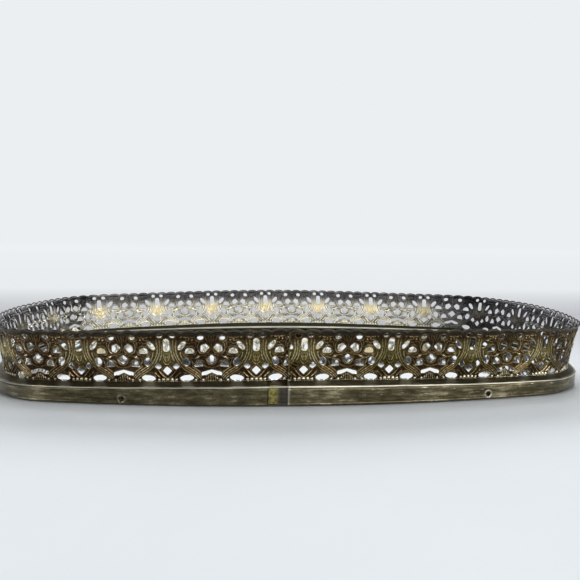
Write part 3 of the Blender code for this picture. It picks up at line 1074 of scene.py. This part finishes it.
def rim_tarnish(tree, streak, blotch, fine):
    """Colour of the rim's face: mottled olive-brown, greyer at the two ends of the tray."""
    mixture = plus(tree, times(tree, streak, 0.5), times(tree, blotch, 0.4))
    mixture = plus(tree, mixture, times(tree, fine, 0.1))
    stops = (
        (0.38, (0.044, 0.037, 0.022)),
        (0.46, (0.088, 0.074, 0.041)),
        (0.53, (0.145, 0.124, 0.07)),
        (0.62, (0.42, 0.38, 0.25)),
    )
    grey = mixed(tree, streak, (0.08, 0.072, 0.058), (0.26, 0.235, 0.195))
    ends = spread(tree, away_from(tree, place_x(tree), 0.0), 0.1, 0.14, 0.0, 0.55)
    return mixed(tree, ends, ramp(tree, mixture, stops), grey)


def rim_brass():
    """Rolled brass: streaks of tarnish along the rim, painted shade over the shoulder and in the
    well, and pale where it is rubbed or where a highlight is painted."""
    made, tree, shader = new_material("rim_brass", 1.0)
    along = attribute(tree, "along")
    level = attribute(tree, "level")
    on_rim = put(tree, "ShaderNodeCombineXYZ", {"X": along, "Y": level}).outputs["Vector"]
    streak = stretched_noise(tree, on_rim, (120.0, 620.0, 1.0), 5.0, 0.65)
    blotch = noise(tree, 45.0, 5.0, 0.6)
    fine = noise(tree, 1200.0, 3.0)
    colour = rim_tarnish(tree, streak, blotch, fine)
    # Painted shade: the shoulder is darkened to the dull brown below.
    shoulder = spread(tree, level, 0.00805, 0.0083, 0.0, 0.72)
    dull = mixed(tree, blotch, (0.046, 0.041, 0.024), (0.118, 0.107, 0.068))
    colour = mixed(tree, shoulder, colour, dull)
    # Painted shade down the well between the lip and the mirror.
    well = spread(tree, attribute(tree, "offset"), -0.0016, -0.0021, 0.0, 0.8)
    colour = mixed(tree, well, colour, (0.03, 0.034, 0.028))
    # Painted highlight on the rim's cut end at the right of the joint.
    right_end = spread(tree, along, JOINT_RIGHT + 0.0003, JOINT_RIGHT + 0.0012, 0.52, 0.0)
    colour = mixed(tree, right_end, colour, (0.5, 0.48, 0.4))
    # Painted shadow in the gap at the rim's left end.
    end = GIRTH + JOINT_LEFT
    left_end = spread(tree, along, end - 0.0007, end - 0.0003, 0.0, 0.85)
    colour = mixed(tree, left_end, colour, (0.025, 0.022, 0.016))
    # Pale brass where rubbed, together with painted highlights on the bead and the brad rings.
    rubbed = rubbed_and_highlight_share(tree, on_rim, level, blotch)
    colour = mixed(tree, rubbed, colour, (0.92, 0.89, 0.74))
    duller = times(tree, larger(tree, shoulder, well), 0.34)
    rough = plus(tree, spread(tree, blotch, 0.3, 0.7, 0.28, 0.44), duller)
    grain = plus(tree, times(tree, streak, 0.6), times(tree, fine, 0.3))
    finish_shader(tree, shader, colour, rough, bump(tree, grain, 0.00006))
    return made


def splice_brass():
    """The strip in the rim's joint: yellow brass on the left, dark tarnish on the right, a
    reddish-brown shoulder, a pale bead that is partly a painted highlight, and painted shade under the
    ledge."""
    made, tree, shader = new_material("splice_brass", 1.0)
    along = attribute(tree, "along")
    level = attribute(tree, "level")
    mottle = noise(tree, 700.0, 3.0)
    edge = plus(tree, along, spread(tree, mottle, 0.3, 0.7, -0.0004, 0.0004))
    patchy = spread(tree, mottle, 0.38, 0.62)
    yellow = mixed(tree, patchy, (0.13, 0.11, 0.032), (0.37, 0.33, 0.12))
    dark = mixed(tree, mottle, (0.03, 0.028, 0.03), (0.1, 0.088, 0.072))
    colour = mixed(tree, spread(tree, edge, -0.0124, -0.0104), yellow, dark)
    shoulder = spread(tree, level, 0.0079, 0.0081)
    colour = mixed(tree, shoulder, colour, (0.055, 0.04, 0.017))
    # Bead line: rubbed brass and a painted highlight.
    bead_line = spread(tree, away_from(tree, level, 0.00755), 0.00014, 0.00036, 0.9, 0.0)
    colour = mixed(tree, bead_line, colour, (0.86, 0.82, 0.64))
    # Painted shade at the top, in the crease under the gallery's foot.
    ledge = spread(tree, level, 0.00915, 0.0093)
    colour = mixed(tree, ledge, colour, (0.03, 0.024, 0.014))
    rough = plus(tree, spread(tree, mottle, 0.3, 0.7, 0.32, 0.5), times(tree, ledge, 0.4))
    finish_shader(tree, shader, colour, rough, bump(tree, mottle, 0.0001))
    return made


def silvered_glass():
    """Old mirror: clear in most places, with faint grey foxing in clouds."""
    made, tree, shader = new_material("silvered_glass", 1.0)
    speck = spread(tree, noise(tree, 160.0, 6.0, 0.7), 0.6, 0.72)
    cloud = spread(tree, noise(tree, 18.0, 3.0), 0.52, 0.66)
    worn = times(tree, speck, cloud)
    colour = mixed(tree, worn, (0.87, 0.89, 0.89), (0.4, 0.39, 0.36))
    finish_shader(tree, shader, colour, spread(tree, worn, 0.0, 1.0, 0.05, 0.3))
    return made


def fibrous(name, scale, dark, light, dull, depth):
    """Plain fibrous stuff, finely mottled."""
    made, tree, shader = new_material(name, 0.0)
    grain = noise(tree, scale, 5.0, 0.7)
    rough = spread(tree, grain, 0.3, 0.7, *dull)
    finish_shader(tree, shader, mixed(tree, grain, dark, light), rough, bump(tree, grain, depth))
    return made


def board_fibre():
    """Brown hardboard."""
    dark, light = (0.2, 0.12, 0.06), (0.36, 0.24, 0.13)
    return fibrous("board_fibre", 500.0, dark, light, (0.7, 0.9), 0.0002)


def kraft_paper():
    """Plain brown paper."""
    dark, light = (0.45, 0.36, 0.25), (0.62, 0.52, 0.38)
    return fibrous("kraft_paper", 900.0, dark, light, (0.8, 0.95), 0.0001)


def felt_cloth():
    """Near-black felt with a grey nap."""
    made, tree, shader = new_material("felt_cloth", 0.0)
    fibre = noise(tree, 1500.0, 6.0, 0.75)
    patch = times(tree, noise(tree, 40.0, 3.0), 0.35)
    colour = mixed(tree, fibre, (0.022, 0.02, 0.018), (0.07, 0.064, 0.058))
    tree.links.new(mixed(tree, patch, colour, (0.15, 0.14, 0.13)), shader.inputs["Base Color"])
    shader.inputs["Roughness"].default_value = 0.95
    shader.inputs["Sheen Weight"].default_value = 0.4
    tree.links.new(bump(tree, fibre, 0.0003), shader.inputs["Normal"])
    return made


def brad_steel():
    """Rusted dark steel."""
    made, tree, shader = new_material("brad_steel", 1.0)
    rust = noise(tree, 1500.0, 4.0)
    colour = ramp(tree, rust, ((0.4, (0.02, 0.017, 0.014)), (0.6, (0.06, 0.042, 0.028))))
    finish_shader(tree, shader, colour, spread(tree, rust, 0.3, 0.7, 0.35, 0.65))
    return made


def finish_node(name, finish):
    """Gives a CAD solid its material."""
    for slot in frame["nodes"][name].material_slots:
        slot.material = finish


# ---- stage, light, camera


def floor_look():
    """Pale, with painted shade darkening it behind the tray, and fading far off into the backdrop's
    own glow.
    """
    made, tree, shader = new_material("floor", 0.0)
    where = own_place(tree)
    behind = put(tree, "ShaderNodeSeparateXYZ", {0: where}).outputs["Y"]
    reach = put(tree, "ShaderNodeVectorMath", {0: where}, operation="LENGTH").outputs["Value"]
    tone = noise(tree, 9.0, 3.0)
    near = mixed(tree, tone, (0.83, 0.88, 0.92), (0.9, 0.94, 0.97))
    # Painted shade: the floor behind the tray is darker.
    painted_shade_behind = mixed(tree, tone, (0.5, 0.51, 0.54), (0.58, 0.59, 0.62))
    near = mixed(tree, spread(tree, behind, -0.02, 0.16), near, painted_shade_behind)
    far_off = spread(tree, reach, 1.3, 2.6)
    fade = larger(tree, spread(tree, behind, 0.22, 0.5), far_off)
    glow = spread(tree, behind, 0.5, 3.0, 0.95 * BACKDROP_STRENGTH, BACKDROP_STRENGTH)
    colour = mixed(tree, fade, near, (0.02, 0.02, 0.02))
    tree.links.new(colour, shader.inputs["Base Color"])
    tree.links.new(times(tree, fade, glow), shader.inputs["Emission Strength"])
    shader.inputs["Emission Color"].default_value = BACKDROP
    shader.inputs["Roughness"].default_value = 0.8
    shader.inputs["Specular IOR Level"].default_value = 0.0
    return made


def floor():
    """A plain floor, just under the tray, that runs out into the backdrop."""
    bm = bmesh.new()
    bmesh.ops.create_grid(bm, x_segments=8, y_segments=8, size=6.0)
    plane = bmesh_object("floor", bm)
    plane.data.materials.append(floor_look())
    plane.location.z = FLOOR_LEVEL


def world():
    """Pale to the camera; as light, bright behind, dim above and on the camera's side."""
    made = bpy.data.worlds.new("studio")
    made.use_nodes = True
    tree = made.node_tree
    background = tree.nodes["Background"]
    direction = put(tree, "ShaderNodeTexCoord").outputs["Generated"]
    parts = put(tree, "ShaderNodeSeparateXYZ", {0: direction})
    behind = spread(tree, parts.outputs["Y"], 0.6, 0.86, 0.12, 1.0)
    above = spread(tree, parts.outputs["Z"], 0.35, 0.85, 1.0, 0.2)
    light = times(tree, behind, above)
    seen = put(tree, "ShaderNodeLightPath").outputs["Is Camera Ray"]
    strength = spread(tree, seen, 0.0, 1.0, light, BACKDROP_STRENGTH)
    background.inputs["Color"].default_value = BACKDROP
    tree.links.new(strength, background.inputs["Strength"])
    bpy.context.scene.world = made


def area_light(name, place, size, power, colour, target=(0, 0, 0)):
    """A soft rectangular light that faces its target."""
    light = bpy.data.lights.new(name, "AREA")
    light.shape = "RECTANGLE"
    light.size, light.size_y = size
    light.energy = power
    light.color = colour
    made = placed(name, light)
    made.location = place
    made.rotation_euler = (Vector(target) - Vector(place)).to_track_quat("-Z", "Y").to_euler()


def lights():
    """Soft light from behind and above, a key from the front, and fill from both sides."""
    area_light("back", (0.2, 1.5, 1.3), (1.4, 1.0), 16.0, (1.0, 1.0, 1.0))
    area_light("backdrop", (0.0, 2.8, 1.8), (5.0, 2.0), 58.0, (1.0, 1.0, 1.0), (0, 2.4, 0))
    area_light("ceiling", (0.1, 0.0, 1.6), (1.0, 0.8), 7.0, (0.96, 0.98, 1.0))
    area_light("key", (0.34, -1.6, 0.62), (0.65, 0.85), 7.2, (1.0, 0.99, 0.97))
    area_light("left", (-1.1, -1.0, 0.45), (0.7, 0.5), 3.5, (1.0, 0.98, 0.94))
    area_light("right", (1.15, -1.2, 0.5), (0.95, 0.65), 7.0, (1.0, 0.98, 0.94))


def camera():
    """The photo's camera: yaw from +Y towards +X, pitch downwards, roll to its right."""
    yaw = Matrix.Rotation(-CAMERA_YAW, 4, "Z")
    pitch = Matrix.Rotation(math.pi / 2 - CAMERA_PITCH, 4, "X")
    roll = Matrix.Rotation(CAMERA_ROLL, 4, "Z")
    data = bpy.data.cameras.new("camera")
    data.lens = CAMERA_LENS
    data.sensor_width = 36.0
    data.clip_start = 0.01
    made = placed("camera", data)
    made.matrix_world = Matrix.Translation(CAMERA_PLACE) @ yaw @ pitch @ roll
    bpy.context.scene.camera = made


camera()
world()
lights()
floor()
gallery(gallery_brass())
rim(rim_brass())
splice(splice_brass())
felt(felt_cloth())
finish_node("mirror_plate", silvered_glass())
finish_node("backing_board", board_fibre())
finish_node("backing_paper", kraft_paper())
STEEL = brad_steel()
for brad in range(1, 7):
    finish_node(f"rim_brad_{brad}", STEEL)
bpy.context.scene.view_settings.view_transform = "Standard"
